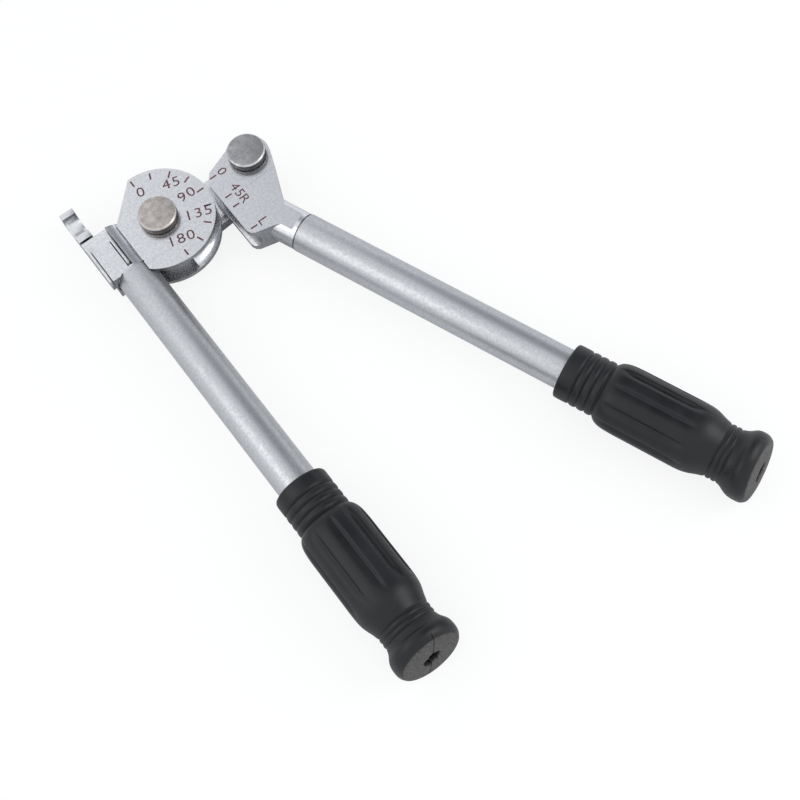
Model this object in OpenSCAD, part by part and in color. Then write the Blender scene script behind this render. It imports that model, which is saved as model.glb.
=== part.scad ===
// Hand-held lever bender for small metal tube. A grooved forming wheel and a forming shoe
// each sit on a handle. A link under them carries their two pivot pins, and a hook on the
// wheel's stem holds the tube while the shoe is pulled round the wheel.
// The origin is on the wheel's pivot axis, on the plane that the tool lies on, with +Z along
// the axis. The wheel's handle points along -Y and the tube enters along X.
// The shoe stands at the 90 degree mark.

/* [Tube to be bent] */
// Outside diameter of the tube
tube_d = 8; // [6:0.5:10]
// Bend radius, measured to the tube's centre line
bend_r = 21.5; // [20:0.5:28]
// Clearance between the tube and a groove
groove_gap = 0.1; // [0.05:0.05:0.2]

/* [Wheel and shoe] */
// Thickness of the wheel and of the shoe
body_t = 12.5; // [11.5:0.5:15]
// How far the wheel's rim stays inside the bend radius
rim_inset = 0.4; // [0.3:0.1:0.8]
// How far the shoe's face stays outside the bend radius
face_inset = 0.7; // [0.5:0.1:1]
// Distance from the stem's axis to the edge of the wheel's flat face
seam_offset = 4.7; // [4.5:0.1:5.5]
// Depth of the relieved rim past the 180 degree mark, below the rim
relief_depth = 5; // [3.5:0.5:6]
// Distance from the tube's centre line to the shoe's pivot
shoe_reach = 19.2; // [18:0.1:24]
// How far the shoe's pivot stands towards the tube's start
shoe_lead = 1.2; // [0:0.1:2.5]
// Radius of the shoe's rounded pivot end
shoe_eye_r = 8.6; // [8:0.1:10]
// Length of the shoe's groove past the wheel's centre
shoe_len = 27.4; // [25:0.1:33]
// Width of the shoe's far end
shoe_end_w = 14.1; // [12:0.1:16]

/* [Handles] */
// Outside diameter of the handle tubes
handle_d = 15; // [13:0.5:17]
// Wall of the handle tubes
handle_wall = 1.2; // [1:0.1:1.5]
// How far the stem is turned down below the handle tube's surface, on the radius
stem_step = 0.2; // [0.1:0.05:0.4]
// How far inside the bend radius the wheel's handle lies
handle_inset = 2.5; // [2:0.5:3.5]
// Distance from the wheel's centre to the mouth of its handle tube
wheel_mouth = 11.4; // [11:0.1:13.5]
// Distance from the wheel's centre to the start of its grip
wheel_grip_start = 115; // [100:1:145]
// Angle between the two handles
handle_angle = 21; // [18:0.5:26]
// Sideways distance from the shoe's pivot to its handle's axis
shoe_handle_offset = 14.4; // [13:0.1:17]
// Distance along the shoe's handle from its pivot's foot to the mouth of the handle tube
shoe_mouth = 34.5; // [31:0.5:39]
// Distance along the shoe's handle from its pivot's foot to the start of its grip
shoe_grip_start = 144; // [125:0.5:175]
// Length of the spigots inside the handle tubes
spigot_len = 22; // [16:1:34]
// Clearance between a spigot and its handle tube, on the radius
spigot_gap = 0.05; // [0.03:0.01:0.1]
// Clearance between the wheel's disc and its handle tube, on the radius
pocket_gap = 0.25; // [0.1:0.05:0.4]
// Width of the gap between the shoe's neck and the mouth of its handle tube
neck_gap = 0.6; // [0.4:0.1:1.2]
// Diameter of the spring pins that hold the handle tubes
spring_pin_d = 2.5; // [2:0.5:3]
// Distance from a handle tube's mouth to its spring pin
spring_pin_inset = 10; // [7:1:13]

/* [Grips] */
// Length of a grip
grip_len = 73; // [68:0.5:92]
// Rubber over the handle tube at the grip's collar
collar_wall = 2.7; // [2:0.1:3.4]
// Rubber over the handle tube at the grip's thickest part
bulge_wall = 4.9; // [4:0.1:6]
// Rubber over the handle tube at the end flange
flange_wall = 5; // [4.2:0.1:6]
// Thickness of the grip's closed end
grip_end_t = 8; // [5:0.5:12]
// Diameter of the vent hole in the grip's end
vent_d = 5.4; // [3:0.2:7]

/* [Link and pins] */
// Thickness of the link
link_t = 4.7; // [3.5:0.1:6]
// Radius of the link's end under the wheel
link_wheel_r = 10.8; // [9:0.1:12]
// Radius of the link's end under the shoe
link_shoe_r = 8.7; // [7.5:0.1:10]
// Diameter of the pivot pins
pin_d = 8; // [6:0.5:9]
// Diameter of the pins' heads
head_d = 14.6; // [13:0.2:16]
// Thickness of the pins' heads
head_t = 3; // [2:0.1:4]
// Diameter of the pins' riveted tails
tail_d = 11; // [10:0.5:13]
// Thickness of the pins' riveted tails
tail_t = 0.95; // [0.8:0.05:1.6]
// Diameter of the washers under the heads
head_washer_d = 12; // [11:0.5:12.5]
// Thickness of the washers under the heads
head_washer_t = 0.7; // [0.5:0.1:1.2]
// Diameter of the spacers between the link and the wheel or the shoe
spacer_d = 16; // [13:0.5:17]
// Thickness of the spacers
spacer_t = 0.5; // [0.3:0.1:0.8]
// Running clearance of a pin in its bore, on the radius
running_gap = 0.05; // [0.02:0.01:0.1]
// End play of the wheel and the shoe, on each side
end_play = 0.1; // [0.05:0.05:0.2]

/* [Hook] */
// Distance from the wheel's centre plane back to the hook's pivot
hook_back = 4.2; // [3.6:0.1:5]
// Width of the stem's lug between the hook's cheeks
lug_w = 7.5; // [6.5:0.5:8.5]
// Radius of the lug's rounded end about the hook's pivot
lug_r = 10; // [9:0.1:10.4]
// Width of the hook's cradle along the tube
cradle_w = 5.7; // [5:0.1:7.5]
// Thickness of the hook's outer cheek
outer_cheek_t = 1; // [0.8:0.1:2]
// Thickness of the hook's inner cheek
inner_cheek_t = 1.2; // [1:0.1:1.6]
// Thickness of the cradle's outer lip
lip_t = 2.4; // [1.6:0.1:3.4]
// Thickness of the cradle's inner lip
inner_lip_t = 2.3; // [1.6:0.1:3]
// Width of the ledge between the tube and the inner lip
ledge_w = 1.3; // [0.8:0.1:1.8]
// Thickness of the cradle's floor
floor_t = 2.4; // [1.6:0.1:3.4]
// Height of the cradle's lips above the tube's centre
lip_h = 0.9; // [0.5:0.1:1.6]
// Clearance between the hook and the lug
hook_gap = 0.25; // [0.2:0.05:0.4]
// Clearance between the tube and the hook's cradle
cradle_gap = 0.4; // [0.2:0.1:0.6]
// Diameter of the hook's pivot pin
hook_pin_d = 4; // [3:0.5:4.5]
// Thickness of the hook's spring washer
hook_washer_t = 0.4; // [0.3:0.1:0.5]
// Diameter of the hook's spring washer
hook_washer_d = 7.5; // [6.5:0.5:8.5]

/* [Hidden] */
$fn = 96;
cut = 0.5;
steel = "silver";
rubber = [0.12, 0.12, 0.13];

// Heights, from the table upwards
link_z = tail_t;
spacer_z = link_z + link_t;
mid_z = spacer_z + spacer_t + end_play + body_t / 2;
face_z = mid_z + body_t / 2;
washer_z = face_z + end_play;
head_z = washer_z + head_washer_t;

// Wheel and shoe
wheel_r = bend_r - rim_inset;
groove_r = tube_d / 2 + groove_gap;
shoe_pin_x = bend_r + shoe_reach;
shoe_dir = handle_angle - 90;

// Stem that carries the wheel's handle tube, with a domed end
stem_x = handle_inset - bend_r;
stem_r = handle_d / 2 - stem_step;
stem_end = 11.6;
stem_dome_r = 10.8;
spigot_r = handle_d / 2 - handle_wall - spigot_gap;
seam_x = stem_x + seam_offset;
tube_in_grip = grip_len - grip_end_t;

// Hook, from its outer cheek on the left to its inner cheek in the stem's slot
lug_right = stem_x - 0.9;
lug_left = lug_right - lug_w;
hook_left = lug_left - hook_gap - outer_cheek_t;
inner_cheek_x = lug_right + hook_washer_t + hook_gap / 2;
inner_cheek_right = inner_cheek_x + inner_cheek_t;
slot_right = inner_cheek_right + hook_gap;
outer_cheek_r = 5.8;
inner_cheek_r = 3.9;

// The hook's web is wrapped round the lug's end, and its arm runs on to the cradle
web_in_r = lug_r + hook_gap;
web_out_r = lug_r + 5.8;
cradle_y = bend_r;
cradle_r = tube_d / 2 + cradle_gap;
cradle_out_y = cradle_y + cradle_r + lip_t;
ledge_y = cradle_y - cradle_r - ledge_w;
cradle_in_y = ledge_y - inner_lip_t;
cradle_low = cradle_r + floor_t;

// A cylinder of radius r along Y, from y = a to y = b, about the wheel's handle axis.
module along_stem(r, a, b) {
    translate([stem_x, b, mid_z]) rotate([90, 0, 0]) cylinder(r = r, h = b - a);
}

// A cylinder of radius r along the hook's pivot, from x = a to x = b.
module along_hook_pivot(r, a, b) {
    translate([a, -hook_back, mid_z]) rotate([0, 90, 0]) cylinder(r = r, h = b - a);
}

// Places children in the shoe handle's own axes: +Y runs down the handle from the foot of
// the shoe's pivot, and Z = 0 is the handle's axis.
module at_shoe_handle() {
    translate([shoe_pin_x, shoe_lead, mid_z]) rotate([0, 0, shoe_dir - 90])
        translate([shoe_handle_offset, 0, 0]) children();
}

// A cylinder of radius r along the shoe's handle, from a to b along it.
module along_shoe_handle(r, a, b) {
    at_shoe_handle() translate([0, b, 0]) rotate([90, 0, 0]) cylinder(r = r, h = b - a);
}

// A rolled spring pin, drawn from its lower end upwards.
module spring_pin() {
    pin_len = handle_d * 0.75;
    difference() {
        cylinder(r = spring_pin_d / 2, h = pin_len);
        translate([0, 0, -cut]) cylinder(r = spring_pin_d / 4, h = pin_len + 2 * cut);
        translate([0, -0.25, -cut]) cube([spring_pin_d, 0.5, pin_len + 2 * cut]);
    }
}

// The blind hole that a spring pin fills, opened below the handle tube.
module spring_pin_hole() {
    translate([0, 0, -handle_d / 2 - cut])
        cylinder(r = spring_pin_d / 2, h = handle_d * 0.75 + cut);
}

// A pivot pin with its riveted tail at z = 0 and a chamfered head on top.
module pivot_pin() {
    chamfer = 0.6;
    head_r = head_d / 2;
    rotate_extrude() polygon([
        [0, 0], [tail_d / 2, 0], [tail_d / 2, tail_t], [pin_d / 2, tail_t],
        [pin_d / 2, head_z], [head_r, head_z], [head_r, head_z + head_t - chamfer],
        [head_r - chamfer, head_z + head_t], [0, head_z + head_t]
    ]);
}

// A flat ring round a pivot pin.
module ring(d, h, gap) {
    difference() {
        cylinder(r = d / 2, h = h);
        translate([0, 0, -cut]) cylinder(r = pin_d / 2 + gap, h = h + 2 * cut);
    }
}

// A moulded grip along +Z: collar, bulge, waist and trumpet flange, open at the collar.
module grip() {
    tube_r = handle_d / 2;
    collar_r = tube_r + collar_wall;
    bulge_r = tube_r + bulge_wall;
    flange_r = tube_r + flange_wall;
    collar_end = 13.5;
    bulge_start = 22.5;
    bulge_end = grip_len - 24;
    waist = grip_len - 13;
    flange_start = grip_len - 5.5;
    flange_end = grip_len - 3.5;
    difference() {
        rotate_extrude() polygon([
            [0, 0], [collar_r - 0.3, 0], [collar_r, 0.5], [collar_r, collar_end],
            [bulge_r - 0.6, bulge_start - 4], [bulge_r, bulge_start], [bulge_r, bulge_end],
            [bulge_r - 0.3, bulge_end + 2.5], [bulge_r - 1.2, bulge_end + 5],
            [collar_r, waist - 3], [collar_r - 0.2, waist], [collar_r, waist + 2],
            [flange_r - 0.9, flange_start - 2], [flange_r, flange_start],
            [flange_r, flange_end], [flange_r - 0.7, flange_end + 2],
            [flange_r - 2.2, grip_len], [0, grip_len]
        ]);
        translate([0, 0, -cut]) cylinder(r = tube_r, h = tube_in_grip + cut);
        translate([0, 0, tube_in_grip - cut]) cylinder(r = vent_d / 2, h = grip_end_t + 2 * cut);
    }
}

// The wheel's disc: round rim, cut off square to the diagonal at the start mark and along
// the seam beside the stem, with the tube's groove and the relieved rim past 180 degrees.
module wheel_disc() {
    relief_start = -85;
    relief_sweep = 70;
    relief_h = 2 * groove_r + 0.8;
    difference() {
        translate([0, 0, mid_z - body_t / 2]) cylinder(r = wheel_r, h = body_t, $fn = 180);
        translate([0, 0, mid_z]) rotate_extrude($fn = 180)
            translate([bend_r, 0]) circle(r = groove_r);
        translate([0, 0, mid_z - relief_h / 2]) rotate([0, 0, relief_start - relief_sweep])
            rotate_extrude(angle = relief_sweep, $fn = 180)
                translate([wheel_r - relief_depth, 0]) square([relief_depth + cut, relief_h]);
        rotate([0, 0, 45]) translate([-bend_r * 2, bend_r / sqrt(2), -cut])
            cube([bend_r * 4, bend_r, face_z + 2 * cut]);
        translate([seam_x - bend_r, -bend_r * 2, -cut])
            cube([bend_r, bend_r * 4, face_z + 2 * cut]);
        along_stem(handle_d / 2 + pocket_gap, -bend_r * 2, -wheel_mouth);
    }
}

// The stem: a round bar with a domed end, and a lug beside it for the hook's pivot.
module wheel_stem() {
    intersection() {
        along_stem(stem_r, -wheel_mouth, stem_end);
        translate([stem_x, stem_end - stem_dome_r, mid_z]) union() {
            sphere(r = stem_dome_r);
            rotate([90, 0, 0]) cylinder(r = stem_dome_r, h = stem_end + bend_r);
        }
        // Left of the slot the stem gives way to the lug and to the hook's sweep.
        translate([lug_right, -bend_r, 0]) cube([bend_r, bend_r * 2, face_z * 2]);
    }
    intersection() {
        translate([lug_left, -wheel_mouth, mid_z - body_t / 2])
            cube([lug_w + stem_r, bend_r, body_t]);
        union() {
            along_hook_pivot(lug_r, lug_left, lug_right);
            translate([lug_left, -wheel_mouth, 0])
                cube([lug_w, wheel_mouth - hook_back, face_z * 2]);
        }
    }
}

module forming_wheel() {
    slot_start = wheel_mouth - 1.2;
    color(steel) difference() {
        union() {
            wheel_disc();
            wheel_stem();
            along_stem(spigot_r, -wheel_mouth - spigot_len, -wheel_mouth + cut);
        }
        translate([0, 0, -cut])
            cylinder(r = pin_d / 2 + running_gap, h = face_z + 2 * cut);
        translate([lug_right, -slot_start, 0])
            cube([slot_right - lug_right, slot_start + bend_r, face_z * 2]);
        along_hook_pivot(hook_pin_d / 2, lug_left - cut, stem_x + stem_r / 2);
        translate([stem_x, -wheel_mouth - spring_pin_inset, mid_z]) spring_pin_hole();
    }
}

module wheel_handle_tube() {
    tube_end = -wheel_grip_start - tube_in_grip;
    color(steel) difference() {
        along_stem(handle_d / 2, tube_end, -wheel_mouth);
        along_stem(handle_d / 2 - handle_wall, tube_end - cut, -wheel_mouth + cut);
        translate([stem_x, -wheel_mouth - spring_pin_inset, mid_z]) spring_pin_hole();
    }
}

module wheel_grip() {
    color(rubber) translate([stem_x, -wheel_grip_start, mid_z]) rotate([90, 0, 0]) grip();
}

module wheel_handle_pin() {
    color(steel)
        translate([stem_x, -wheel_mouth - spring_pin_inset, mid_z - handle_d / 2]) spring_pin();
}

// The link from above: a round end about each pivot, joined by their common tangents.
module link_outline() {
    span = norm([shoe_pin_x, shoe_lead]);
    tangent = acos((link_wheel_r - link_shoe_r) / span);
    touch = [cos(tangent), sin(tangent)];
    rotate([0, 0, atan2(shoe_lead, shoe_pin_x)]) {
        circle(r = link_wheel_r);
        translate([span, 0]) circle(r = link_shoe_r);
        polygon([
            [link_wheel_r * touch[0], link_wheel_r * touch[1]],
            [link_wheel_r * touch[0], -link_wheel_r * touch[1]],
            [span + link_shoe_r * touch[0], -link_shoe_r * touch[1]],
            [span + link_shoe_r * touch[0], link_shoe_r * touch[1]]
        ]);
    }
}

module link_plate() {
    color(steel) difference() {
        translate([0, 0, link_z]) linear_extrude(link_t) link_outline();
        translate([0, 0, -cut]) cylinder(r = pin_d / 2, h = face_z);
        translate([shoe_pin_x, shoe_lead, -cut]) cylinder(r = pin_d / 2, h = face_z);
    }
}

module wheel_pivot_pin() {
    color(steel) pivot_pin();
}

module shoe_pivot_pin() {
    color([0.42, 0.42, 0.44]) translate([shoe_pin_x, shoe_lead, 0]) pivot_pin();
}

module wheel_spacer() {
    color("gray") translate([0, 0, spacer_z]) ring(spacer_d, spacer_t, 0);
}

module shoe_spacer() {
    color("gray") translate([shoe_pin_x, shoe_lead, spacer_z]) ring(spacer_d, spacer_t, 0);
}

module wheel_head_washer() {
    color("gray") translate([0, 0, washer_z]) ring(head_washer_d, head_washer_t, 0);
}

module shoe_head_washer() {
    color("gray") translate([shoe_pin_x, shoe_lead, washer_z])
        ring(head_washer_d, head_washer_t, 0);
}

// The shoe's outline from above: a round eye about the pivot, a straight groove face, and an
// end that slopes away from the groove to the handle's side.
module shoe_outline() {
    face_x = bend_r + face_inset;
    end_x = face_x + shoe_end_w;
    end_y = -shoe_len;
    translate([shoe_pin_x, shoe_lead]) circle(r = shoe_eye_r);
    polygon([
        // along the tangent of the eye to the groove's start
        [shoe_pin_x - 5.7, shoe_lead + 6.5], [face_x + 3, shoe_lead + 2.7],
        [face_x + 0.6, 0.75], [face_x, -0.5],
        // down the groove face and round its far corner
        [face_x, end_y + 2.1], [face_x + 0.7, end_y + 0.5], [face_x + 2, end_y - 0.5],
        // along the sloping end to the neck
        [face_x + 9.4, end_y - 2.4], [face_x + 11.5, end_y - 3.6], [end_x, end_y - 3.9],
        // and back up the outer edge
        [end_x + 2.4, end_y + 0.8], [shoe_pin_x + 8.1, shoe_lead - 3.3], [shoe_pin_x, shoe_lead]
    ]);
}

module forming_shoe() {
    neck_start = 10;
    neck_end = shoe_mouth - neck_gap;
    neck_collar = 1.6;
    neck_r = handle_d / 2 - stem_step;
    color(steel) difference() {
        union() {
            translate([0, 0, mid_z - body_t / 2]) linear_extrude(body_t) shoe_outline();
            // The neck has flats level with the shoe's faces, and a round collar at its end.
            intersection() {
                along_shoe_handle(neck_r, neck_start, neck_end);
                translate([0, -bend_r * 4, mid_z - body_t / 2])
                    cube([bend_r * 4, bend_r * 5, body_t]);
            }
            along_shoe_handle(neck_r, neck_end - neck_collar, neck_end);
            along_shoe_handle(spigot_r, neck_start, shoe_mouth + spigot_len);
        }
        translate([bend_r, bend_r, mid_z]) rotate([90, 0, 0])
            cylinder(r = groove_r, h = bend_r + shoe_len * 2);
        translate([shoe_pin_x, shoe_lead, -cut])
            cylinder(r = pin_d / 2 + running_gap, h = face_z + 2 * cut);
        at_shoe_handle() translate([0, shoe_mouth + spring_pin_inset, 0]) spring_pin_hole();
    }
}

module shoe_handle_tube() {
    tube_end = shoe_grip_start + tube_in_grip;
    color(steel) difference() {
        along_shoe_handle(handle_d / 2, shoe_mouth, tube_end);
        along_shoe_handle(handle_d / 2 - handle_wall, shoe_mouth - cut, tube_end + cut);
        at_shoe_handle() translate([0, shoe_mouth + spring_pin_inset, 0]) spring_pin_hole();
    }
}

module shoe_grip() {
    color(rubber) at_shoe_handle() translate([0, shoe_grip_start, 0]) rotate([-90, 0, 0]) grip();
}

module shoe_handle_pin() {
    color(steel) at_shoe_handle()
        translate([0, shoe_mouth + spring_pin_inset, -handle_d / 2]) spring_pin();
}

// One cheek of the hook, from x = a to x = b: a plate round the pivot, out to the web.
module hook_cheek(r, a, b) {
    along_hook_pivot(r, a, b);
    translate([a, -hook_back, mid_z - r]) cube([b - a, web_in_r + cut, 2 * r]);
}

module tube_hook() {
    web_top = 2.5;
    arm_y = web_out_r - hook_back;
    arm_overlap = 2;
    step_y = arm_y + 0.5;
    color(steel) difference() {
        union() {
            hook_cheek(outer_cheek_r, hook_left, lug_left - hook_gap);
            hook_cheek(inner_cheek_r, inner_cheek_x, inner_cheek_right);
            // The web that joins the cheeks, round the lug's end.
            intersection() {
                difference() {
                    along_hook_pivot(web_out_r, hook_left, inner_cheek_right);
                    along_hook_pivot(web_in_r, hook_left - cut, slot_right);
                }
                translate([hook_left, 0, mid_z - cradle_low])
                    cube([bend_r, bend_r, web_top + cradle_low]);
            }
            // The arm and the cradle that the tube lies in.
            translate([hook_left, arm_y - arm_overlap, mid_z - cradle_low])
                cube([cradle_w, cradle_out_y - arm_y + arm_overlap, cradle_low + lip_h]);
        }
        // The step between the web and the cradle's inner lip.
        translate([hook_left - cut, step_y, mid_z - floor_t])
            cube([cradle_w * 2, cradle_in_y - step_y, cradle_low * 2]);
        // The bed of the tube, open upwards, and the ledge beside it.
        translate([hook_left - cut, cradle_y, mid_z]) rotate([0, 90, 0])
            cylinder(r = cradle_r, h = cradle_w * 2);
        translate([hook_left - cut, cradle_y - cradle_r, mid_z])
            cube([cradle_w * 2, cradle_r * 2, cradle_low]);
        translate([hook_left - cut, ledge_y, mid_z])
            cube([cradle_w * 2, ledge_w + cut, cradle_low]);
        along_hook_pivot(hook_pin_d / 2 + running_gap, hook_left - cut, slot_right);
    }
}

module hook_pivot_pin() {
    color(steel) along_hook_pivot(hook_pin_d / 2, hook_left, stem_x + stem_r / 2);
}

module hook_spring_washer() {
    color("gray") difference() {
        along_hook_pivot(hook_washer_d / 2, lug_right, lug_right + hook_washer_t);
        along_hook_pivot(hook_pin_d / 2, lug_right - cut, lug_right + hook_washer_t + cut);
    }
}

forming_wheel();
wheel_handle_tube();
wheel_grip();
wheel_handle_pin();
link_plate();
wheel_pivot_pin();
shoe_pivot_pin();
wheel_spacer();
shoe_spacer();
wheel_head_washer();
shoe_head_washer();
forming_shoe();
shoe_handle_tube();
shoe_grip();
shoe_handle_pin();
tube_hook();
hook_pivot_pin();
hook_spring_washer();
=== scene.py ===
import math

import bpy
from mathutils import Matrix, Vector


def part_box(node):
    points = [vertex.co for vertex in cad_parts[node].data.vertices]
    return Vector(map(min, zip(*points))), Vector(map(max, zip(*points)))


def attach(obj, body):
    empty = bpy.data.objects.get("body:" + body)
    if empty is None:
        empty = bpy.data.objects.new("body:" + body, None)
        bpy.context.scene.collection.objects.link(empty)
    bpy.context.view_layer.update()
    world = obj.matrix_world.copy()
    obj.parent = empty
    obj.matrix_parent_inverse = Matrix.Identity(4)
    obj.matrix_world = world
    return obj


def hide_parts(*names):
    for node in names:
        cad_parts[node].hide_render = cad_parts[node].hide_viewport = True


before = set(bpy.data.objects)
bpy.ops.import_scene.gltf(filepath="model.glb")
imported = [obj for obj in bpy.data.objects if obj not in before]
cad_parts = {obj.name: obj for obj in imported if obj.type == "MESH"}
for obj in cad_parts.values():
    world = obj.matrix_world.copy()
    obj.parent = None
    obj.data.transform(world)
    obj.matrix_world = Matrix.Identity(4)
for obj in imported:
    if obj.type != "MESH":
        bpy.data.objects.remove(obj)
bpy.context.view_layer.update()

# Camera. It looks down on the tool from beyond the wheel's handle, a little rolled, with a
# longish lens, so that both handles run away to the right and towards the viewer.
view_azimuth = math.radians(-27.8)
view_elevation = math.radians(68.18)
view_roll = math.radians(-10.18)
view_distance = 0.4348
view_target = Vector((0.0269, -0.1110, 0.0125))
view_lens = 56.25
view_film = 36
nearest_seen = 0.01
bpy.ops.object.camera_add()
camera = bpy.context.object
camera.name = "camera"
camera.data.lens = view_lens
camera.data.sensor_width = view_film
camera.data.clip_start = nearest_seen
back = Vector((
    math.sin(view_azimuth) * math.cos(view_elevation),
    -math.cos(view_azimuth) * math.cos(view_elevation),
    math.sin(view_elevation),
))
level = (-back).to_track_quat("-Z", "Y").to_matrix().to_4x4()
roll = Matrix.Rotation(view_roll, 4, "Z")
camera.matrix_world = Matrix.Translation(view_target + back * view_distance) @ level @ roll
bpy.context.scene.camera = camera

# Light. A bright surround with one dimmer patch of ceiling beyond the tool, which the bare
# steel mirrors as its soft dark bands, and two weak soft boxes that brighten tool and table.
open_sky = (0.95, 0.97, 1.0, 1)
dim_patch = (0.20, 0.22, 0.26, 1)
patch_way = Vector((0.62, 0.28, 0.73)).normalized()
patch_rim = 0.80
patch_heart = 0.985
sky_strength = 1.02
bpy.context.scene.view_settings.view_transform = "Standard"
surround = bpy.data.worlds.new("surround")
bpy.context.scene.world = surround
surround.use_nodes = True
sky = surround.node_tree
sky_coords = sky.nodes.new("ShaderNodeTexCoord")
towards_patch = sky.nodes.new("ShaderNodeVectorMath")
towards_patch.operation = "DOT_PRODUCT"
towards_patch.inputs[1].default_value = patch_way
patch_ramp = sky.nodes.new("ShaderNodeValToRGB")
patch_ramp.color_ramp.interpolation = "EASE"
patch_ramp.color_ramp.elements[0].position = patch_rim
patch_ramp.color_ramp.elements[0].color = open_sky
patch_ramp.color_ramp.elements[1].position = patch_heart
patch_ramp.color_ramp.elements[1].color = dim_patch
sky.links.new(sky_coords.outputs["Generated"], towards_patch.inputs[0])
sky.links.new(towards_patch.outputs["Value"], patch_ramp.inputs["Fac"])
sky.links.new(patch_ramp.outputs["Color"], sky.nodes["Background"].inputs["Color"])
sky.nodes["Background"].inputs["Strength"].default_value = sky_strength


def softbox(name, place, aim, size, power):
    """A rectangular soft light that faces the tool."""
    bpy.ops.object.light_add(type="AREA", location=place)
    lamp = bpy.context.object
    lamp.name = name
    lamp.data.shape = "RECTANGLE"
    lamp.data.size = size[0]
    lamp.data.size_y = size[1]
    lamp.data.energy = power
    lamp.rotation_mode = "QUATERNION"
    lamp.rotation_quaternion = (Vector(aim) - Vector(place)).to_track_quat("-Z", "Y")


middle_of_tool = (0.03, -0.1, 0)
softbox("key", (-0.55, 0.10, 0.60), middle_of_tool, (0.50, 0.50), 0.7)
softbox("fill", (0.50, -0.40, 0.45), middle_of_tool, (0.40, 0.40), 1.2)

# Floor. A plain white table top that the tool lies on. It is lit from within as seen by the
# camera, like a light table, so that it stays white and the shadows on it stay faint.
table_size = 4
table_clearance = 0.0005
table_white = (0.78, 0.79, 0.80, 1)
table_rough = 0.8
glow_strength = 1.05
glow_part = 0.80
bpy.ops.mesh.primitive_plane_add(size=table_size, location=(0, 0, -table_clearance))
floor = bpy.context.object
floor.name = "floor"
table_top = bpy.data.materials.new("table_top")
table_top.use_nodes = True
table_tree = table_top.node_tree
table_shader = table_tree.nodes["Principled BSDF"]
table_shader.inputs["Base Color"].default_value = table_white
table_shader.inputs["Roughness"].default_value = table_rough
glow = table_tree.nodes.new("ShaderNodeEmission")
glow.inputs["Strength"].default_value = glow_strength
ray_kind = table_tree.nodes.new("ShaderNodeLightPath")
glow_share = table_tree.nodes.new("ShaderNodeMath")
glow_share.operation = "MULTIPLY"
glow_share.inputs[1].default_value = glow_part
light_table = table_tree.nodes.new("ShaderNodeMixShader")
table_tree.links.new(ray_kind.outputs["Is Camera Ray"], glow_share.inputs[0])
table_tree.links.new(glow_share.outputs[0], light_table.inputs["Fac"])
table_tree.links.new(table_shader.outputs[0], light_table.inputs[1])
table_tree.links.new(glow.outputs[0], light_table.inputs[2])
table_tree.links.new(light_table.outputs[0], table_tree.nodes["Material Output"].inputs["Surface"])
floor.data.materials.append(table_top)

# Forming wheel. A bright-plated steel casting: a disc with the tube's groove round its rim,
# and the stem of its handle cast on beside it. Its corners are tumbled round before it is
# plated. A fine seam shows where the handle tube is pushed over its spigot.
mm = 0.001
micron = 0.000001


def grain(tree, scale, detail, stretch=(1, 1, 1), turn=0.0):
    """A cloudy pattern in the piece's own coordinates, with scale clouds to a metre."""
    coords = tree.nodes.new("ShaderNodeTexCoord")
    lay = tree.nodes.new("ShaderNodeMapping")
    lay.inputs["Rotation"].default_value = (0, 0, turn)
    lay.inputs["Scale"].default_value = stretch
    pattern = tree.nodes.new("ShaderNodeTexNoise")
    pattern.inputs["Scale"].default_value = scale
    pattern.inputs["Detail"].default_value = detail
    tree.links.new(coords.outputs["Object"], lay.inputs["Vector"])
    tree.links.new(lay.outputs["Vector"], pattern.inputs["Vector"])
    return pattern.outputs[0]


def ramp(tree, value, low, high, dark, light):
    """Turns a pattern's values between low and high into colours from dark to light."""
    shades = tree.nodes.new("ShaderNodeValToRGB")
    shades.color_ramp.elements[0].position = low
    shades.color_ramp.elements[0].color = (*dark, 1)
    shades.color_ramp.elements[1].position = high
    shades.color_ramp.elements[1].color = (*light, 1)
    tree.links.new(value, shades.inputs["Fac"])
    return shades.outputs["Color"]


def overlay(tree, first, second, amount):
    """Darkens one colour pattern by another, as far as amount says."""
    mix = tree.nodes.new("ShaderNodeMix")
    mix.data_type = "RGBA"
    mix.blend_type = "MULTIPLY"
    mix.inputs["Factor"].default_value = amount
    tree.links.new(first, mix.inputs["A"])
    tree.links.new(second, mix.inputs["B"])
    return mix.outputs["Result"]


def relief(tree, heights):
    """Stacks patterns as fine surface relief. Each comes with its depth in metres."""
    normal = None
    for pattern, depth in heights:
        bump = tree.nodes.new("ShaderNodeBump")
        bump.inputs["Strength"].default_value = 1.0
        bump.inputs["Distance"].default_value = depth
        tree.links.new(pattern, bump.inputs["Height"])
        if normal:
            tree.links.new(normal, bump.inputs["Normal"])
        normal = bump.outputs["Normal"]
    return normal


def painted_shade_and_highlight(tree, painted_wall_shade, edge_highlight):
    """Painted shade and highlight by how level the surface lies: upright walls painted darker as shade,
    rounded edges painted lighter as a highlight, level faces plain.
    """
    upright = 0.12
    rounded = 0.62
    level = 0.97
    coords = tree.nodes.new("ShaderNodeTexCoord")
    parts = tree.nodes.new("ShaderNodeSeparateXYZ")
    tree.links.new(coords.outputs["Normal"], parts.inputs["Vector"])
    how_level = tree.nodes.new("ShaderNodeMath")
    how_level.operation = "ABSOLUTE"
    tree.links.new(parts.outputs["Z"], how_level.inputs[0])
    shades = tree.nodes.new("ShaderNodeValToRGB")
    stops = shades.color_ramp.elements
    # Upright walls get a painted shade.
    stops[0].position = upright
    stops[0].color = (painted_wall_shade, painted_wall_shade, painted_wall_shade, 1)
    stops[1].position = level
    stops[1].color = (1, 1, 1, 1)
    # Rounded edges get a painted highlight.
    painted_highlight_stop = stops.new(rounded)
    painted_highlight_stop.color = (edge_highlight, edge_highlight, edge_highlight, 1)
    tree.links.new(how_level.outputs[0], shades.inputs["Fac"])
    return shades.outputs["Color"]


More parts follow.
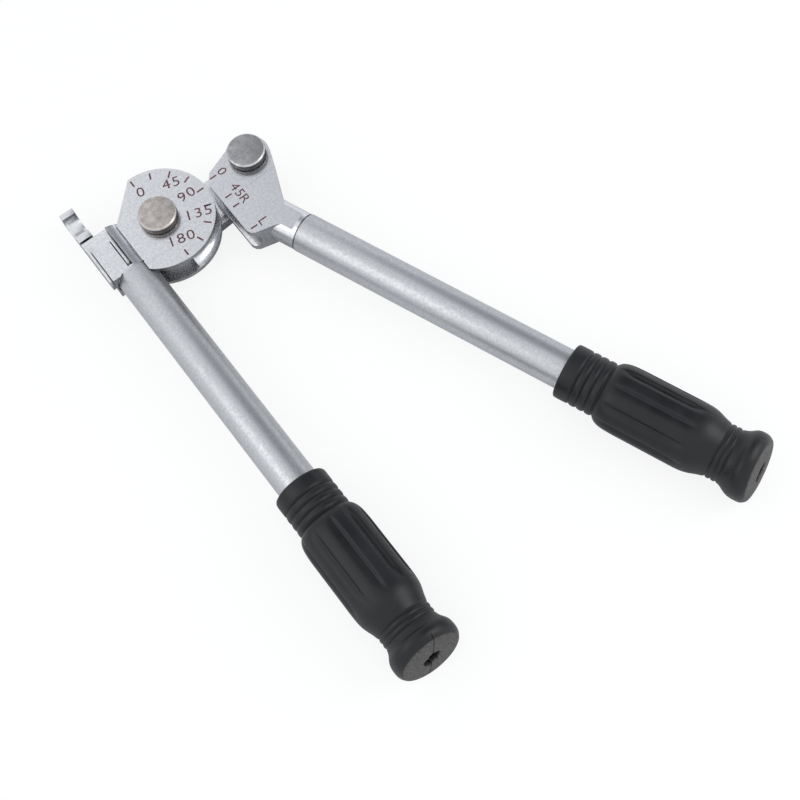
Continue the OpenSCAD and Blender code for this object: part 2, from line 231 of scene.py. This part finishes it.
def steel(name, dark, light, rough, blotch, grit, grit_depth, scratch=0.0, painted_wall_shade=1.0, edge_highlight=1.0):
    """Bare or plated steel with cloudy blotches, fine grit and thin crossing scratches.

    blotch and grit say how many of them there are to a metre. scratch says how dark the
    scratches are; the last two say how dark the painted shade on upright walls is and how
    bright the painted highlight on rounded edges is.
    """
    cloud_span = (0.35, 0.68)
    grit_span = (0.36, 0.62)
    scratch_span = (0.62, 0.66)
    gloss_span = (0.3, 0.7)
    grit_grey = (0.72, 0.72, 0.73)
    grit_strength = 0.5
    blotch_depth = 3 * grit_depth
    scratch_count = 420
    scratch_stretch = (0.05, 4, 1)
    scratch_turns = (0.5, -0.9, 1.9)
    duller = 0.08
    glossier = 0.06
    metal = bpy.data.materials.new(name)
    metal.use_nodes = True
    tree = metal.node_tree
    shader = tree.nodes["Principled BSDF"]
    shader.inputs["Metallic"].default_value = 1.0
    clouds = grain(tree, blotch, detail=6.0)
    specks = grain(tree, grit, detail=2.0)
    colour = ramp(tree, clouds, *cloud_span, dark, light)
    grey = ramp(tree, specks, *grit_span, grit_grey, (1, 1, 1))
    colour = overlay(tree, colour, grey, grit_strength)
    if scratch:
        for turn in scratch_turns:
            lines = grain(tree, scratch_count, 2.0, scratch_stretch, turn)
            thin = ramp(tree, lines, *scratch_span, (1, 1, 1), (1 - scratch,) * 3)
            colour = overlay(tree, colour, thin, 1.0)
    # Painted shade on the upright walls and a painted highlight on the rounded edges.
    if painted_wall_shade < 1.0:
        colour = overlay(tree, colour, painted_shade_and_highlight(tree, painted_wall_shade, edge_highlight), 1.0)
    tree.links.new(colour, shader.inputs["Base Color"])
    gloss = ramp(tree, clouds, *gloss_span, (rough + duller,) * 3, (rough - glossier,) * 3)
    tree.links.new(gloss, shader.inputs["Roughness"])
    skin = relief(tree, [(specks, grit_depth), (clouds, blotch_depth)])
    tree.links.new(skin, shader.inputs["Normal"])
    return metal


flat_limit = math.radians(0.5)
corner_limit = math.radians(35)
smooth_limit = math.radians(32)


def tumbled_copy(node, round_over, metal):
    """A copy of a CAD node with its corners rounded over, which stands in its place."""
    piece = bpy.data.objects.new(node + "_finished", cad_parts[node].data.copy())
    bpy.context.scene.collection.objects.link(piece)
    bpy.ops.object.select_all(action="DESELECT")
    piece.select_set(True)
    bpy.context.view_layer.objects.active = piece
    bpy.ops.mesh.customdata_custom_splitnormals_clear()
    bpy.ops.object.mode_set(mode="EDIT")
    bpy.ops.mesh.select_all(action="SELECT")
    bpy.ops.mesh.remove_doubles(threshold=2 * micron)
    bpy.ops.mesh.dissolve_limited(angle_limit=flat_limit)
    bpy.ops.object.mode_set(mode="OBJECT")
    rounding = piece.modifiers.new("round_over", "BEVEL")
    rounding.width = round_over
    rounding.segments = 3
    rounding.limit_method = "ANGLE"
    rounding.angle_limit = corner_limit
    bpy.ops.object.modifier_apply(modifier="round_over")
    bpy.ops.object.shade_smooth_by_angle(angle=smooth_limit)
    piece.data.materials.clear()
    piece.data.materials.append(metal)
    return piece


# The castings carry a painted shade on their upright walls and a painted highlight on their rounded
# edges.
cast_steel = steel(
    "cast_steel", dark=(0.72, 0.725, 0.745), light=(0.82, 0.825, 0.84), rough=0.25,
    blotch=900, grit=2300, grit_depth=7 * micron, scratch=0.06, painted_wall_shade=0.45, edge_highlight=1.15
)
casting_round = 0.35 * mm
wheel = tumbled_copy("forming_wheel", casting_round, cast_steel)

# The seam is a thin groove round the stem at the mouth of the handle tube.
seam_depth = 0.55 * mm
tube_low, tube_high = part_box("wheel_handle_tube")
seam_place = ((tube_low.x + tube_high.x) / 2, tube_high.y, (tube_low.z + tube_high.z) / 2)
seam_radius = (tube_high.x - tube_low.x) / 2
bpy.ops.object.select_all(action="DESELECT")
bpy.ops.mesh.primitive_torus_add(
    major_radius=seam_radius, minor_radius=seam_depth, major_segments=96, minor_segments=10,
    location=seam_place, rotation=(math.radians(90), 0, 0)
)
seam_cutter = bpy.context.object
bpy.ops.object.transform_apply(location=True, rotation=True)
seam = wheel.modifiers.new("seam", "BOOLEAN")
seam.object = seam_cutter
seam.operation = "DIFFERENCE"
seam.solver = "EXACT"
bpy.ops.object.select_all(action="DESELECT")
wheel.select_set(True)
bpy.context.view_layer.objects.active = wheel
bpy.ops.object.modifier_apply(modifier="seam")
bpy.data.objects.remove(seam_cutter)
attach(wheel, "wheel")
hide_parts("forming_wheel")

# Degree marks on the wheel. Nine strokes and five numbers are stamped in the face by hand,
# not quite square to each other, and filled with dark red paint that has worn thin.
# The washer under the pivot pin's head runs an end play above the face.
end_play = 0.1 * mm
face_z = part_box("wheel_head_washer")[0].z - end_play
mark_depth = 0.16 * mm
paint_depth = 0.06 * mm
stroke_width = 0.65 * mm
cap_share = 0.70
digit_breadth = 1.12
digit_spacing = 1.14
curve_steps = 4


def stamped_word(word, height, spot, turn, low, high):
    """Raised letters from height low to height high, centred on spot."""
    bpy.ops.object.text_add()
    letters = bpy.context.object
    letters.data.body = word
    letters.data.size = height / cap_share
    letters.data.space_character = digit_spacing
    letters.data.align_x = "CENTER"
    letters.data.align_y = "CENTER"
    letters.data.resolution_u = curve_steps
    letters.data.extrude = (high - low) / 2
    bpy.ops.object.convert(target="MESH")
    letters.scale = (digit_breadth, 1, 1)
    letters.rotation_euler = (0, 0, turn)
    letters.location = (spot[0], spot[1], (low + high) / 2)
    bpy.ops.object.transform_apply(location=True, rotation=True, scale=True)
    return letters


def stamped_stroke(start, end, low, high):
    """A straight stroke from start to end, from height low to height high."""
    run = Vector(end) - Vector(start)
    middle = (Vector(start) + Vector(end)) / 2
    bpy.ops.mesh.primitive_cube_add(size=1)
    stroke = bpy.context.object
    stroke.scale = (run.length, stroke_width, high - low)
    stroke.rotation_euler = (0, 0, math.atan2(run.y, run.x))
    stroke.location = (middle.x, middle.y, (low + high) / 2)
    bpy.ops.object.transform_apply(location=True, rotation=True, scale=True)
    return stroke


def stamped_marks(words, strokes, low, high, name):
    """All the words and strokes of one face as one mesh."""
    marks = [stamped_word(*word, low, high) for word in words]
    marks += [stamped_stroke(start, end, low, high) for start, end in strokes]
    bpy.ops.object.select_all(action="DESELECT")
    for mark in marks:
        mark.select_set(True)
    bpy.context.view_layer.objects.active = marks[0]
    bpy.ops.object.join()
    bpy.ops.object.mode_set(mode="EDIT")
    bpy.ops.mesh.select_all(action="SELECT")
    bpy.ops.mesh.remove_doubles(threshold=micron)
    bpy.ops.mesh.normals_make_consistent(inside=False)
    bpy.ops.object.mode_set(mode="OBJECT")
    joined = bpy.context.object
    joined.name = name
    return joined


def stamp_and_fill(piece, words, strokes, name, paint):
    """Sinks the marks into the piece's face and returns the paint that lies in them."""
    punch = stamped_marks(words, strokes, face_z - mark_depth, face_z + mark_depth, name)
    cut = piece.modifiers.new("stamp", "BOOLEAN")
    cut.object = punch
    cut.operation = "DIFFERENCE"
    cut.solver = "EXACT"
    cut.use_self = True
    bpy.ops.object.select_all(action="DESELECT")
    piece.select_set(True)
    bpy.context.view_layer.objects.active = piece
    bpy.ops.object.modifier_apply(modifier="stamp")
    bpy.data.objects.remove(punch)
    bpy.ops.object.shade_smooth_by_angle(angle=smooth_limit)
    level_faces = piece.modifiers.new("level_faces", "WEIGHTED_NORMAL")
    level_faces.weight = 100
    level_faces.keep_sharp = True
    bpy.ops.object.modifier_apply(modifier="level_faces")
    fill = stamped_marks(words, strokes, face_z - mark_depth, face_z - paint_depth, name)
    fill.data.materials.clear()
    fill.data.materials.append(paint)
    return fill


mark_paint = bpy.data.materials.new("mark_paint")
mark_paint.use_nodes = True
paint_tree = mark_paint.node_tree
paint_shader = paint_tree.nodes["Principled BSDF"]
fresh_paint = (0.060, 0.010, 0.014)
worn_paint = (0.20, 0.075, 0.085)
paint_rough = 0.55
wear_span = (0.40, 0.66)
wear_depth = 20 * micron
paint_wear = grain(paint_tree, 1500, detail=4.0)
paint_colour = ramp(paint_tree, paint_wear, *wear_span, fresh_paint, worn_paint)
paint_skin = relief(paint_tree, [(paint_wear, wear_depth)])
paint_tree.links.new(paint_colour, paint_shader.inputs["Base Color"])
paint_tree.links.new(paint_skin, paint_shader.inputs["Normal"])
paint_shader.inputs["Roughness"].default_value = paint_rough

mark_step = math.radians(22.5)
mark_count = 9
mark_inner = 17.0 * mm
mark_outer = 19.9 * mm
wheel_strokes = []
for mark in range(mark_count):
    way = Vector((math.sin(mark * mark_step), math.cos(mark * mark_step)))
    wheel_strokes.append((way * mark_inner, way * mark_outer))
wheel_digit = 4.1 * mm
wheel_words = [
    ("0", wheel_digit, (0.5 * mm, 13.4 * mm), math.radians(-15)),
    ("45", wheel_digit, (11.6 * mm, 9.4 * mm), math.radians(-17)),
    ("90", wheel_digit, (13.4 * mm, 1.6 * mm), math.radians(-2)),
    ("135", wheel_digit, (12.5 * mm, -7.7 * mm), math.radians(-20)),
    ("180", wheel_digit, (1.6 * mm, -12.6 * mm), math.radians(-15)),
]
wheel_marks = stamp_and_fill(wheel, wheel_words, wheel_strokes, "wheel_marks", mark_paint)
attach(wheel_marks, "wheel")

# Forming shoe. A second plated casting, cut off straight along its groove, with a round eye
# for its pivot. Its marks are stamped and painted as the wheel's are, and read down the shoe.
shoe = tumbled_copy("forming_shoe", casting_round, cast_steel)
shoe_stroke_in = 23.9 * mm
shoe_stroke_out = 26.7 * mm
shoe_word_x = 29.2 * mm
shoe_digit = 3.6 * mm
shoe_reading_turn = math.radians(-90)
shoe_words = []
shoe_strokes = []
for word, stroke_y, word_y in (
    ("0", 1.5 * mm, 1.5 * mm),
    ("45", -8.8 * mm, -8.8 * mm),
    ("R", -13.9 * mm, -13.5 * mm),
    ("L", -25.6 * mm, -25.6 * mm),
):
    shoe_words.append((word, shoe_digit, (shoe_word_x, word_y), shoe_reading_turn))
    shoe_strokes.append(((shoe_stroke_in, stroke_y), (shoe_stroke_out, stroke_y)))
shoe_marks = stamp_and_fill(shoe, shoe_words, shoe_strokes, "shoe_marks", mark_paint)
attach(shoe, "shoe")
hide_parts("forming_shoe")
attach(shoe_marks, "shoe")

# Link and hook. The link is a plated bar under both castings. The hook is a plated forging
# with two cheeks astride the stem's lug and an open cradle for the tube.
link_round = 0.4 * mm
hook_round = 0.3 * mm
link = tumbled_copy("link_plate", link_round, cast_steel)
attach(link, "link")
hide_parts("link_plate")
hook = tumbled_copy("tube_hook", hook_round, cast_steel)
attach(hook, "hook")
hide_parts("tube_hook")

# Pivot pins. Two turned steel rivets with wide flat heads, pressed in the link, with their
# tails set over underneath. The shoe's pin is the darker of the two.
# The pins carry a painted shade on the sides of their heads and a painted highlight on their rounded
# edges.
pin_steel = steel(
    "pin_steel", dark=(0.45, 0.41, 0.38), light=(0.64, 0.585, 0.55), rough=0.36,
    blotch=520, grit=1900, grit_depth=8 * micron, scratch=0.12, painted_wall_shade=0.20, edge_highlight=1.25
)
dark_pin_steel = steel(
    "dark_pin_steel", dark=(0.35, 0.35, 0.355), light=(0.48, 0.475, 0.47), rough=0.34,
    blotch=560, grit=1700, grit_depth=9 * micron, scratch=0.08, painted_wall_shade=0.20, edge_highlight=1.6
)
pin_round = 0.18 * mm
for pin_node, pin_metal, pin_slot in (
    ("wheel_pivot_pin", pin_steel, "pin_steel"),
    ("shoe_pivot_pin", dark_pin_steel, "dark_pin_steel"),
):
    pin = tumbled_copy(pin_node, pin_round, pin_metal)
    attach(pin, "link")
    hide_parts(pin_node)

# Washers, spacers and the small pins. Pressed and rolled spring steel, which sits between the moving
# parts or holds the handle tubes on their spigots.
# The washers and spacers are coloured near black, a painted shade for the gaps under the pin heads and
# between the parts; the spring steel pins and the hook's spring washer are dulled with oil.
washer_steel = steel(
    "washer_steel", dark=(0.045, 0.045, 0.048), light=(0.13, 0.13, 0.135), rough=0.48,
    blotch=500, grit=2600, grit_depth=5 * micron, scratch=0.2
)
spring_steel = steel(
    "spring_steel", dark=(0.14, 0.14, 0.15), light=(0.30, 0.30, 0.32), rough=0.38,
    blotch=700, grit=3000, grit_depth=4 * micron, scratch=0.2
)
for small_node, small_metal in (
    ("wheel_spacer", washer_steel),
    ("shoe_spacer", washer_steel),
    ("wheel_head_washer", washer_steel),
    ("shoe_head_washer", washer_steel),
    ("wheel_handle_pin", spring_steel),
    ("shoe_handle_pin", spring_steel),
    ("hook_spring_washer", spring_steel),
    ("hook_pivot_pin", pin_steel),
):
    small_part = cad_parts[small_node]
    small_part.data.materials.clear()
    small_part.data.materials.append(small_metal)

# Handle tubes. Drawn steel tube with a satin plating, its mouth rounded over, pushed on the
# castings' spigots and held by a spring pin from below.
handle_steel = steel(
    "handle_steel", dark=(0.54, 0.545, 0.56), light=(0.62, 0.625, 0.64), rough=0.38,
    blotch=1100, grit=2600, grit_depth=7 * micron
)
mouth_round = 0.56 * mm
for tube_node, tube_body in (("wheel_handle_tube", "wheel"), ("shoe_handle_tube", "shoe")):
    handle_tube = tumbled_copy(tube_node, mouth_round, handle_steel)
    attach(handle_tube, tube_body)
    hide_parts(tube_node)

# Grips. Two like sleeves of black rubber moulded in two halves, pushed over the tubes' ends.
# Each has a ringed collar, a fluted bulge, a waist with thin rings and a flange whose face
# has a torn vent hole and the mould's parting slit across it.
rubber = bpy.data.materials.new("grip_rubber")
rubber.use_nodes = True
rubber_tree = rubber.node_tree
rubber_shader = rubber_tree.nodes["Principled BSDF"]
deep_black = (0.0045, 0.005, 0.006)
bloomed_black = (0.010, 0.011, 0.013)
bloom_span = (0.35, 0.7)
handled_rough = 0.34
bloomed_rough = 0.46
rough_span = (0.3, 0.7)
rubber_shine = 0.38
pore_depth = 12 * micron
bloom_depth = 60 * micron
rubber_bloom = grain(rubber_tree, 90, detail=5.0)
rubber_pores = grain(rubber_tree, 1800, detail=3.0)
rubber_black = ramp(rubber_tree, rubber_bloom, *bloom_span, deep_black, bloomed_black)
rubber_gloss = ramp(rubber_tree, rubber_bloom, *rough_span, (handled_rough,) * 3, (bloomed_rough,) * 3)
rubber_skin = relief(rubber_tree, [(rubber_pores, pore_depth), (rubber_bloom, bloom_depth)])
rubber_tree.links.new(rubber_black, rubber_shader.inputs["Base Color"])
rubber_tree.links.new(rubber_gloss, rubber_shader.inputs["Roughness"])
rubber_tree.links.new(rubber_skin, rubber_shader.inputs["Normal"])
rubber_shader.inputs["Specular IOR Level"].default_value = rubber_shine

cut_rubber = bpy.data.materials.new("grip_end_rubber")
cut_rubber.use_nodes = True
cut_tree = cut_rubber.node_tree
cut_shader = cut_tree.nodes["Principled BSDF"]
cut_dark = (0.030, 0.028, 0.026)
cut_light = (0.105, 0.098, 0.090)
cut_span = (0.34, 0.7)
cut_rough = 0.62
cut_depth = 30 * micron
cut_pores = grain(cut_tree, 1300, detail=5.0)
cut_grey = ramp(cut_tree, cut_pores, *cut_span, cut_dark, cut_light)
cut_skin = relief(cut_tree, [(cut_pores, cut_depth)])
cut_tree.links.new(cut_grey, cut_shader.inputs["Base Color"])
cut_tree.links.new(cut_skin, cut_shader.inputs["Normal"])
cut_shader.inputs["Roughness"].default_value = cut_rough

# A grip's own sizes are in millimetres, counted along it from its collar's mouth.
columns = 120
grip_length = 73.0
flange_radius = 12.5
bore_radius = 7.55
bore_end = 65.0
vent_radius = 3.0
tear_start = 67.0
tear_width = 0.6
tears = ((0.22, 2, 0.6), (0.10, 5, 0.0), (0.06, 11, 0.0))
flute_count = 10
first_flute = 10
flute_start = 17.5
flute_end = 49.0
flute_steepness = 3.2
flute_sharpness = 1.2
flute_depths = {0: 1.15, 1: 0.88, 2: 0.60, 3: 0.34, 4: 0.12, -1: 0.03}
end_slant = 0.20
slant_start = 65.0
slant_run = 6.0
end_crown = 0.7
crown_start = 72.5
slit_width = 0.30
slit_length = 28.0
slit_height = 3.4
rubber_smooth_limit = math.radians(40)
end_face_radius = 11.0
end_face_depth = 0.25


def grip_outline():
    """Stations (place, radius) in millimetres, from the vent round the bore and the outside."""
    outline = [(bore_end, vent_radius), (bore_end, bore_radius), (0.0, bore_radius)]
    outline += [(0.0, 9.5), (0.15, 9.9), (0.6, 10.15), (1.2, 10.2), (5.0, 10.2), (5.5, 10.1)]
    for ring in (5.9, 8.9, 11.9):
        outline += [(ring - 0.1, 9.65), (ring + 0.15, 9.6), (ring + 0.35, 9.95)]
        outline += [(ring + 0.7, 10.15), (ring + 1.6, 10.25), (ring + 2.3, 10.2), (ring + 2.7, 10.0)]
    outline += [(14.8, 9.65), (15.1, 9.7), (15.5, 10.25), (16.2, 10.95), (17.2, 11.55)]
    outline += [(18.6, 12.0), (20.4, 12.25), (22.5, 12.35)]
    outline += [(24.0 + 2.5 * k, 12.4) for k in range(10)]
    outline += [(48.5, 12.35), (50.5, 12.2), (52.3, 11.85), (54.0, 11.25), (55.6, 10.65), (57.0, 10.3)]
    for ring in (57.9, 59.9, 61.9):
        outline += [(ring - 0.25, 10.1), (ring, 9.7), (ring + 0.25, 9.7), (ring + 0.5, 10.05)]
        outline += [(ring + 1.1, 10.15)]
    outline += [(63.9, 10.45), (64.9, 11.05), (65.8, 11.65), (66.8, 12.15), (67.8, 12.4)]
    outline += [(68.9, 12.5), (70.2, 12.5), (71.2, 12.35), (72.0, 12.0), (72.6, 11.45)]
    outline += [(72.92, 10.8), (73.0, 10.2), (73.0, 7.6), (73.0, 5.2), (73.0, vent_radius + 0.35)]
    outline += [(72.75, vent_radius + 0.05), (71.5, vent_radius), (68.5, vent_radius)]
    return outline


def ring_of(piece, place):
    """The outer vertices at one place along the grip, by column."""
    by_column = {}
    for vertex in piece.data.vertices:
        spread = math.hypot(vertex.co.x, vertex.co.y)
        if abs(vertex.co.z - place * mm) < 10 * micron and spread > (bore_radius + 1) * mm:
            angle = math.atan2(vertex.co.y, vertex.co.x) % math.tau
            by_column[round(angle / math.tau * columns) % columns] = vertex
    return by_column


def moulded_grip(name, turn):
    """One grip standing on its collar's mouth at the origin, turned about its own axis."""
    outline = grip_outline()
    bpy.ops.mesh.primitive_circle_add(
        vertices=columns, radius=outline[0][1] * mm, location=(0, 0, outline[0][0] * mm)
    )
    piece = bpy.context.object
    piece.name = name
    bpy.ops.object.transform_apply(location=True)
    bpy.ops.object.mode_set(mode="EDIT")
    bpy.ops.mesh.select_all(action="SELECT")
    for (place, radius), (next_place, next_radius) in zip(outline, outline[1:] + outline[:1]):
        step = (0, 0, (next_place - place) * mm)
        bpy.ops.mesh.extrude_edges_move(TRANSFORM_OT_translate={"value": step})
        widen = next_radius / radius
        bpy.ops.transform.resize(value=(widen, widen, 1), center_override=(0, 0, next_place * mm))
    bpy.ops.mesh.select_all(action="SELECT")
    bpy.ops.mesh.remove_doubles(threshold=micron)
    bpy.ops.mesh.normals_make_consistent(inside=False)
    bpy.ops.mesh.select_all(action="DESELECT")
    bpy.ops.object.mode_set(mode="OBJECT")

    # The flutes: knife-like hollows with one crisp side, pointed at both ends, whose depths
    # are given column by column from the crisp side.
    spacing = columns // flute_count
    for place, radius in outline:
        if not flute_start < place < flute_end:
            continue
        along = (place - flute_start) / (flute_end - flute_start)
        fade = min(1.0, flute_steepness * math.sin(math.pi * along) ** flute_sharpness)
        for column, vertex in ring_of(piece, place).items():
            step_from_side = (column - first_flute + 1) % spacing - 1
            sink = flute_depths.get(step_from_side, 0.0) * fade
            vertex.co.x *= (radius - sink) / radius
            vertex.co.y *= (radius - sink) / radius

    smooth = piece.modifiers.new("smooth", "SUBSURF")
    smooth.levels = 1
    smooth.render_levels = 1
    bpy.ops.object.modifier_apply(modifier="smooth")

    # The sleeve was pushed on at a turn of its own, which its flutes and its slit share.
    bpy.ops.object.mode_set(mode="EDIT")
    bpy.ops.mesh.select_all(action="SELECT")
    bpy.ops.transform.rotate(value=turn, orient_axis="Z", center_override=(0, 0, 0))
    bpy.ops.mesh.select_all(action="DESELECT")
    bpy.ops.object.mode_set(mode="OBJECT")

    # The end is moulded on a slant and a little crowned, and its vent hole is torn.
    for vertex in piece.data.vertices:
        place = vertex.co.z / mm
        spread = math.hypot(vertex.co.x, vertex.co.y) / mm
        slant_share = min(1.0, max(0.0, (place - slant_start) / slant_run))
        if place > tear_start and spread < vent_radius + tear_width:
            angle = math.atan2(vertex.co.y, vertex.co.x)
            torn = 1.0
            for depth, waves, start in tears:
                torn += depth * math.sin(waves * angle + start)
            vertex.co.x *= torn
            vertex.co.y *= torn
        crown = end_crown * (1 - (spread / flange_radius) ** 2) if place > crown_start else 0.0
        vertex.co.z += crown * mm - end_slant * vertex.co.y * slant_share

    # The parting slit across the end.
    bpy.ops.mesh.primitive_cube_add(size=1)
    blade = bpy.context.object
    blade.scale = (slit_width * mm, slit_length * mm, slit_height * mm)
    blade.rotation_euler = (-math.atan(end_slant * math.cos(turn)), 0, -turn)
    blade.location = (0, 0, grip_length * mm)
    bpy.ops.object.transform_apply(location=True, rotation=True, scale=True)
    slit = piece.modifiers.new("slit", "BOOLEAN")
    slit.object = blade
    slit.operation = "DIFFERENCE"
    slit.solver = "EXACT"
    bpy.ops.object.select_all(action="DESELECT")
    piece.select_set(True)
    bpy.context.view_layer.objects.active = piece
    bpy.ops.object.modifier_apply(modifier="slit")
    bpy.data.objects.remove(blade)
    bpy.ops.object.shade_smooth_by_angle(angle=rubber_smooth_limit)

    # The end's flat face is left rough and greyer, where the moulding was trimmed.
    piece.data.materials.clear()
    piece.data.materials.append(rubber)
    piece.data.materials.append(cut_rubber)
    for face in piece.data.polygons:
        spread = math.hypot(face.center.x, face.center.y)
        level = face.center.z + end_slant * face.center.y
        if level > (grip_length - end_face_depth) * mm and spread < end_face_radius * mm:
            face.material_index = 1
    return piece


def reach(node, way):
    """How far a CAD node reaches along a direction, lowest and highest."""
    places = [vertex.co.dot(way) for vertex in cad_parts[node].data.vertices]
    return min(places), max(places)


handle_angle = math.radians(21)
for grip_node, grip_body, swing, turn in (
    ("wheel_grip", "wheel", 0.0, math.radians(17)),
    ("shoe_grip", "shoe", handle_angle, math.radians(78)),
):
    along_handle = Vector((math.sin(swing), -math.cos(swing), 0))
    across_handle = Vector((math.cos(swing), math.sin(swing), 0))
    mouth = reach(grip_node, along_handle)[0]
    left, right = reach(grip_node, across_handle)
    low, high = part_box(grip_node)
    grip = moulded_grip(grip_node + "_moulded", turn)
    grip.rotation_euler = (math.radians(90), 0, swing)
    grip.location = (
        along_handle * mouth + across_handle * (left + right) / 2 + Vector((0, 0, (low.z + high.z) / 2))
    )
    bpy.ops.object.transform_apply(location=True, rotation=True)
    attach(grip, grip_body)
    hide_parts(grip_node)
